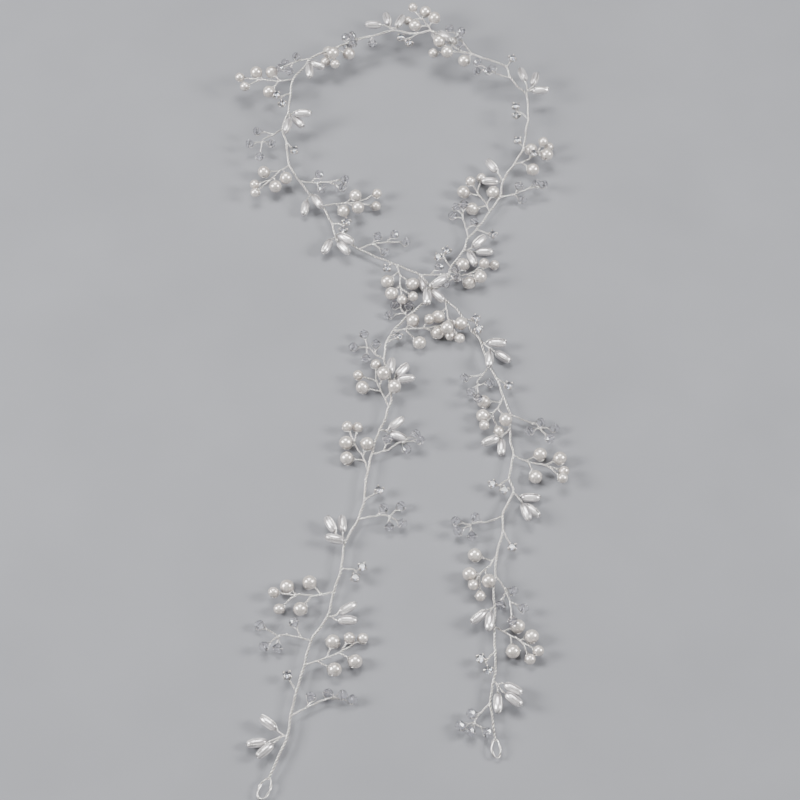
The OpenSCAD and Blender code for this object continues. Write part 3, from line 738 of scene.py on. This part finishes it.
# Round beads: the bare twist before one, and how far its strands stand off it, as a share of HUG_R
HOLD = {"pearls": (0.3, 1.0), "crystals": (0.9, 0.6)}
# A strand round such a bead: degrees from where the twig comes in, and its dip under the bead
HUG = [(24, 0.1), (36, 0.32), (48, 0.5), (60, 0.52), (72, 0.36), (82, 0.14)]
# How far inside its own line it turns in at the mouth of the bore, how far it has gone in and on
# when it is over the rim, and how far from the middle of the bead it ends
HUG_TURN = 0.02
HUG_RIM = (0.2, 0.06)
HUG_END = 0.5
# A strand along a rice pearl, in shares of its half length, and then over its tip: ahead of the
# tip and out from the middle
RICE_RUN = (-1, -0.8, -0.55, -0.3, 0, 0.3, 0.55, 0.8, 0.97)
RICE_TIP = [(0.22, 0.85), (0.34, 0.5), (0.2, 0.12), (-0.2, 0), (-0.8, 0)]
# How much the strand over a rice pearl keeps to its upper side
RICE_TOP = 1.2
# The other strand comes into the bore this far off its middle, and ends this far before the tip
RICE_OFF = 0.15
RICE_SHORT = 1
# How far before and below the middle of its cup a twig ends
CUP_FOOT = (0.5, 0.75)
# The strands of an eye are drawn finer, for they lie only loosely round each other
EYE_STRAND_R = 0.24
EYE_PITCH = 8.0
EYE_POINTS = 14
EYE_STEP = 0.5


def hug(middle, way, side, reach):
    """A strand round one side of a round bead, low, from its foot to its bore, and in."""
    away = []
    for degrees, dip in HUG:
        a = math.radians(degrees)
        away.append(unit(math.sin(a) * side - math.cos(a) * way - dip * UP))
    turn = middle + (reach - HUG_TURN) * side
    rim = middle + (reach - HUG_RIM[0]) * side + HUG_RIM[1] * way
    end = middle + HUG_END * side
    line = [middle + reach * out for out in away] + [turn, rim, end]
    return line, away + [unit(side + way), way + 0.3 * side, way]


def over_rice(middle, way, out):
    """A strand along the outside of a rice pearl, over its tip and into the end of its bore."""
    half = RICE_LEN / 2
    run = [half * share for share in RICE_RUN]
    line = [middle + x * way + (rice_radius(x) + HUG_R) * out for x in run]
    line += [middle + (half + ahead) * way + off * out for ahead, off in RICE_TIP]
    away = [out] * (len(run) - 1) + [unit(out + way)] * 2 + [way, unit(way - out), -out, -out]
    return line, away


def through_rice(middle, way, out):
    """A strand down the bore of a rice pearl."""
    half = RICE_LEN / 2
    mouth = middle - half * way - RICE_OFF * out
    end = middle + (half - RICE_SHORT) * way
    return [mouth, middle, end], [-out] * 3


def twig_start(sprig, i, way):
    """The first points of a twig, and the way that it sets out where it leaves a spine."""
    if len(sprig.beads) == 1:
        return [sprig.foot], None
    if i == len(sprig.beads) - 1:
        return sprig.spine(), None
    fork, spine_way = sprig.fork(i)
    return [fork], unit(FORK_EASE * spine_way + way)


def twig_end(sprig, i, way, side):
    """Where the twist of a twig ends, and how its two strands go on from there, if they do."""
    middle = sprig.middles[i]
    if sprig.kind == "rice":
        return sprig.goal(i), (over_rice(middle, way, side), through_rice(middle, way, side))
    if sprig.kind == "stones":
        return middle - CUP_FOOT[0] * way - CUP_FOOT[1] * UP, None
    neck, off = HOLD[sprig.kind]
    reach = sprig.radius(i) + off * HUG_R
    hugs = hug(middle, way, side, reach), hug(middle, way, -side, reach)
    return middle - (reach + neck) * way, hugs


def twig(piece, sprig, i, phase):
    """The two strands of a twig, which part at its end to hold the bead."""
    way, side = bead_way(sprig, i), bead_side(sprig, i)
    if sprig.kind == "rice":
        side = unit(math.cos(phase) * side + RICE_TOP * UP)
        side = unit(side - (side @ way) * way)
    start, first_way = twig_start(sprig, i, way)
    end, holds = twig_end(sprig, i, way, side)
    line = smooth(start + [end], TWIG_PITCH / RINGS_A_TURN, first_way, way)
    line = hand_bent(line, *TWIG_BEND, phase)
    pair = twist(line, TWIG_STRAND_R, TWIG_PITCH, phase, side)
    for k, (points, away) in enumerate(pair):
        radii = np.full(len(points), TWIG_STRAND_R)
        if holds:
            more, more_away = holds[k]
            points = np.vstack([points, more])
            away = np.vstack([away, more_away])
            radii = np.concatenate([radii, np.full(len(more), HUG_R)])
        piece.strand(points, away, radii)


def eye(piece, neck, way, size):
    """The stem bent back into an eye, with its strands only loosely twisted there."""
    length, width = size
    side = vec(-way[1], way[0], 0)
    ring = []
    for k in range(EYE_POINTS + 1):
        a = 2 * math.pi * k / EYE_POINTS
        ring.append(neck + length / 2 * (1 - math.cos(a)) * way + width / 2 * math.sin(a) * side)
    line = smooth(ring, EYE_STEP, unit(way + 2 * side), -unit(way - 2 * side))
    for points, away in twist(line, EYE_STRAND_R, EYE_PITCH):
        piece.strand(points, away, EYE_STRAND_R)


def stem_and_twigs(name, half, eye_first, eye_size, material, node):
    """Half of the stem with its twigs, and its eye before the first foot or after the last."""
    piece = Piece(name)
    feet = [sprig.foot for sprig in half]
    line = smooth(feet, STEM_PITCH / RINGS_A_TURN)
    line = hand_bent(line, *STEM_BEND, 0.0)
    for points, away in twist(line, STEM_STRAND_R, STEM_PITCH):
        piece.strand(points, away, STEM_STRAND_R)
    for n, sprig in enumerate(half):
        for i in range(len(sprig.beads)):
            twig(piece, sprig, i, SPRIG_PHASE * n + BEAD_PHASE * i)
    neck, before = feet[:2] if eye_first else feet[:-3:-1]
    eye(piece, neck, unit(neck - before), eye_size)
    piece.make([material], replaces=node)


# Materials


def linear(colour):
    """A colour written as sRGB hex, in linear light."""
    parts = [int(colour[k : k + 2], 16) / 255 for k in (1, 3, 5)]
    light = [p / 12.92 if p <= 0.04045 else ((p + 0.055) / 1.055) ** 2.4 for p in parts]
    return (*light, 1.0)


def grain(size):
    """The texture scale that gives features of that size in millimetres."""
    return 1 / (size * MM)


def add(tree, kind, sockets=None, **settings):
    """Adds a node with its settings, and sets or links its sockets."""
    made = tree.nodes.new("ShaderNode" + kind)
    for key, value in settings.items():
        setattr(made, key, value)
    for key, value in (sockets or {}).items():
        if isinstance(value, bpy.types.NodeSocket):
            tree.links.new(value, made.inputs[key])
        else:
            made.inputs[key].default_value = value
    return made


def new_material(name):
    """A material, its empty tree and a node that gives places in it."""
    material = bpy.data.materials.new(name)
    material.use_nodes = True
    tree = material.node_tree
    tree.nodes.clear()
    return material, tree, add(tree, "TexCoord")


def finish_material(tree, sockets):
    shader = add(tree, "BsdfPrincipled", sockets)
    add(tree, "OutputMaterial", {"Surface": shader.outputs["BSDF"]})


def noise(tree, place, size, detail=2.0):
    """Cloudy greys with features of that size in millimetres, the same on every side."""
    sockets = {"Vector": place.outputs["Object"], "Scale": grain(size), "Detail": detail}
    return add(tree, "TexNoise", sockets).outputs["Fac"]


def drawn_out(tree, place, across, along):
    """Greys drawn out along a piece, with sizes in millimetres on its own map."""
    scale = (1 / across, 1 / along, 1)
    stretch = add(tree, "Mapping", {"Vector": place.outputs["UV"], "Scale": scale})
    sockets = {"Vector": stretch.outputs["Vector"], "Scale": 1.0, "Detail": 2.0}
    return add(tree, "TexNoise", sockets).outputs["Fac"]


def ranged(tree, value, low, high, start=0.3, stop=0.7):
    """Greys from start to stop spread from low to high."""
    sockets = {"Value": value, "From Min": start, "From Max": stop, "To Min": low, "To Max": high}
    return add(tree, "MapRange", sockets).outputs["Result"]


def mixed(tree, share, first, second):
    """Two colours mixed by a grey, each in sRGB hex or from a socket."""
    first, second = (linear(c) if isinstance(c, str) else c for c in (first, second))
    made = add(tree, "MixRGB", {"Fac": share, "Color1": first, "Color2": second})
    return made.outputs["Color"]


def clouded(tree, greys, first, second, start=0.3, stop=0.7):
    """Two sRGB colours that go over into each other with the greys of a texture."""
    return mixed(tree, ranged(tree, greys, 0, 1, start, stop), first, second)


def bumps(tree, greys, strength, deep):
    """A relief from the greys of a texture, that many millimetres deep."""
    sockets = {"Height": greys, "Strength": strength, "Distance": deep * MM}
    return add(tree, "Bump", sockets).outputs["Normal"]


def silver_plated_copper_wire():
    """Soft copper wire, drawn through a die and silver plated. The eye sees a bright, nearly
    white metal with faint lines along it. A darker warm grey is painted where two strands meet:
    painted shade in the groove between them, with some tarnish that no cloth reaches."""
    material, tree, place = new_material("silver_plated_copper_wire")
    depth = add(tree, "Attribute", attribute_name="depth").outputs["Fac"]
    # Lines of the die are about 0.02 mm apart, and are drawn at 0.1 mm to show at all
    lines = drawn_out(tree, place, 0.1, 3)
    unshaded_silver = clouded(tree, noise(tree, place, 3, 3.0), "#f6f4f1", "#e9e4df")
    finish_material(tree, {
        # Painted shade: the side of a strand that faces its twin is darkened towards a warm grey
        "Base Color": mixed(tree, ranged(tree, depth, 0, 0.9, 0.28, 0.8), unshaded_silver, "#5f5853"),
        "Metallic": 1.0,
        "Roughness": ranged(tree, lines, 0.24, 0.38),
        "Normal": bumps(tree, lines, 0.25, 0.02),
    })
    return material


def silver_plated_brass_cup():
    """Thin brass, stamped and silver plated. The eye sees the same silver as the wire, with a
    soft grain from the stamping and darker hollows."""
    material, tree, place = new_material("silver_plated_brass_stamped")
    pits = noise(tree, place, 0.25, 3.0)
    finish_material(tree, {
        "Base Color": clouded(tree, noise(tree, place, 1.5), "#e9e5e1", "#c4bcb5"),
        "Metallic": 1.0,
        "Roughness": ranged(tree, pits, 0.18, 0.34),
        "Normal": bumps(tree, pits, 0.3, 0.03),
    })
    return material


def lacquered_glass_pearl():
    """A glass bead dipped many times in pearl lacquer. The eye sees a warm grey cream that
    glows softly under a hard clear gloss, a little uneven from bead to bead."""
    material, tree, place = new_material("lacquered_glass_pearl")
    skin = noise(tree, place, 0.35)
    finish_material(tree, {
        "Base Color": clouded(tree, noise(tree, place, 4), "#e2dcd6", "#cbc3bb"),
        "Metallic": 0.55,
        "Roughness": ranged(tree, skin, 0.22, 0.32),
        "IOR": 1.5,
        "Coat Weight": 1.0,
        "Coat Roughness": 0.03,
        "Coat IOR": 1.5,
        "Thin Film Thickness": 320.0,
        "Thin Film IOR": 1.4,
        "Normal": bumps(tree, skin, 0.12, 0.03),
    })
    return material


def lacquered_rice_pearl():
    """A moulded ABS bead in pearl lacquer. The eye sees a cool silver white. Its long bright and
    grey streaks from end to end are painted reflections of the lamps, and also give it faint
    ridges."""
    material, tree, place = new_material("lacquered_abs_rice_pearl")
    # Painted reflections: bright and grey streaks along the bead, which also serve as its relief
    painted_reflections_and_ridges = drawn_out(tree, place, 1.1, 14)
    finish_material(tree, {
        "Base Color": clouded(tree, painted_reflections_and_ridges, "#f0edec", "#a29d9f", 0.35, 0.65),
        "Metallic": 0.55,
        "Roughness": ranged(tree, noise(tree, place, 0.3), 0.2, 0.3),
        "IOR": 1.54,
        "Coat Weight": 0.7,
        "Coat Roughness": 0.06,
        "Coat IOR": 1.5,
        "Normal": bumps(tree, painted_reflections_and_ridges, 0.3, 0.3),
    })
    return material


def cut_crystal_glass():
    """Clear soda glass, machine cut and fire polished. The eye sees bright and dark facets
    with a breath of lavender in the glass, edges worn a little soft, and bright glints from the
    thin metal bloom that such beads are steamed with."""
    material, tree, place = new_material("cut_crystal_glass")
    polish = noise(tree, place, 0.4, 3.0)
    finish_material(tree, {
        "Base Color": clouded(tree, noise(tree, place, 2.5), "#fdfdff", "#f4f3fa"),
        "Roughness": ranged(tree, polish, 0.0, 0.03),
        "IOR": 1.52,
        "Transmission Weight": 0.98,
        "Coat Weight": 0.5,
        "Coat Roughness": 0.02,
        "Coat IOR": 1.8,
        "Normal": bumps(tree, polish, 0.08, 0.03),
    })
    return material


def cut_rhinestone_glass():
    """Heavy clear glass, machine cut into a small brilliant. The eye sees hard white sparks
    and black facets that change with every step."""
    material, tree, place = new_material("cut_rhinestone_glass")
    polish = noise(tree, place, 0.5)
    finish_material(tree, {
        "Base Color": clouded(tree, polish, "#fdfdff", "#f0f1f7"),
        "Roughness": ranged(tree, polish, 0.0, 0.03),
        "IOR": 1.6,
        "Transmission Weight": 1.0,
    })
    return material


def mirror_foil():
    """The mirror layer painted on the back of a rhinestone. The eye sees it only through the
    glass, as the light that the facets throw back."""
    material, tree, place = new_material("mirror_foil")
    specks = noise(tree, place, 0.3)
    finish_material(tree, {
        "Base Color": clouded(tree, specks, "#eceef2", "#c9cbd2"),
        "Metallic": 1.0,
        "Roughness": ranged(tree, specks, 0.16, 0.3),
    })
    return material


def pale_board():
    """Matt painted board. The eye sees an even pale grey with the faintest mottle."""
    material, tree, place = new_material("pale_board")
    finish_material(tree, {
        "Base Color": clouded(tree, noise(tree, place, 60, 4.0), "#797a7e", "#747579"),
        "Roughness": 0.9,
    })
    return material


# The vine

right = [Sprig(*row) for row in RIGHT]
left = [Sprig(*row) for row in LEFT]
stand([right, left])

silver = silver_plated_copper_wire()
pearl = lacquered_glass_pearl()
rice_pearl = lacquered_rice_pearl()
crystal = cut_crystal_glass()
cup_silver = silver_plated_brass_cup()
stone = [cut_rhinestone_glass(), mirror_foil()]

for end, half, eye_first, eye_size in (
    ("right", right, True, RIGHT_EYE),
    ("left", left, False, LEFT_EYE),
):
    wires = "twisted_wires_" + end
    stem_and_twigs(wires, half, eye_first, eye_size, silver, "wire_" + end)
    pearls("round_pearls_large_" + end, half, True, pearl, "large_pearls_" + end)
    pearls("round_pearls_small_" + end, half, False, pearl, "small_pearls_" + end)
    rice_pearls("long_pearls_" + end, half, rice_pearl, "rice_pearls_" + end)
    crystals("cut_crystals_" + end, half, crystal, "crystals_" + end)
    cups("claw_cups_" + end, half, cup_silver)
    rhinestones("rhinestones_" + end, half, stone)


# The studio

# The board in section, from in front of the vine to behind it: y and z in metres
BOARD = [(-1.6, 0.0), (1.2, 0.0), (1.5, 0.03), (1.75, 0.14), (1.92, 0.34), (2.0, 0.65), (2.0, 2.2)]
# How far it reaches to each side
BOARD_REACH = 5.0


def floor():
    """A wide board that rises in a soft curve behind the vine."""
    verts = [(x, y, z) for y, z in BOARD for x in (-BOARD_REACH, BOARD_REACH)]
    faces = [(2 * k, 2 * k + 1, 2 * k + 3, 2 * k + 2) for k in range(len(BOARD) - 1)]
    mesh = bpy.data.meshes.new("floor")
    mesh.from_pydata(verts, [], faces)
    mesh.materials.append(pale_board())
    mesh.polygons.foreach_set("use_smooth", [True] * len(faces))
    obj = bpy.data.objects.new("floor", mesh)
    bpy.context.scene.collection.objects.link(obj)


def softbox(name, at, size, watts):
    """A lamp of that size in metres, turned to the middle of the vine."""
    light = bpy.data.lights.new(name, "AREA")
    light.shape = "RECTANGLE"
    light.size, light.size_y = size
    light.energy = watts
    obj = bpy.data.objects.new(name, light)
    obj.location = at
    obj.rotation_euler = (-Vector(at)).to_track_quat("-Z", "Y").to_euler()
    bpy.context.scene.collection.objects.link(obj)


floor()
# Two lamps beside the table give each pearl its pair of lights, as in the photograph, and a
# large soft one above gives the shadow under each bead
softbox("left", (-0.95, -0.16, 0.66), (0.42, 0.42), 23.0)
softbox("right", (0.95, -0.14, 0.7), (0.36, 0.36), 19.0)
softbox("overhead", (-0.1, 0.45, 1.15), (0.7, 0.4), 17.0)

world = bpy.data.worlds.new("studio")
bpy.context.scene.world = world
world.use_nodes = True
# A soft white ceiling over darker walls, which gives the pearls and wires their dark sides
sky = world.node_tree
sky.nodes.clear()
look = add(sky, "TexCoord").outputs["Generated"]
height = add(sky, "SeparateXYZ", {"Vector": look}).outputs["Z"]
glow = clouded(sky, height, "#44464c", "#f6f5f3", 0.35, 0.95)
light = add(sky, "Background", {"Color": glow, "Strength": 0.7})
add(sky, "OutputWorld", {"Surface": light.outputs["Background"]})

# The camera looks down on the lying vine as the photograph does, from 870 mm away
ELEVATION = 58
DISTANCE = 0.87
LENS = 86.4
SENSOR = 36
target = Vector((3.25, -19.19, -2.0)) * MM
lens = bpy.data.cameras.new("camera")
lens.lens = LENS
lens.sensor_width = SENSOR
lens.clip_start = 0.01
camera = bpy.data.objects.new("camera", lens)
up = math.radians(ELEVATION)
camera.location = target + DISTANCE * Vector((0, -math.cos(up), math.sin(up)))
camera.rotation_euler = (math.pi / 2 - up, 0, 0)
bpy.context.scene.collection.objects.link(camera)
bpy.context.scene.camera = camera
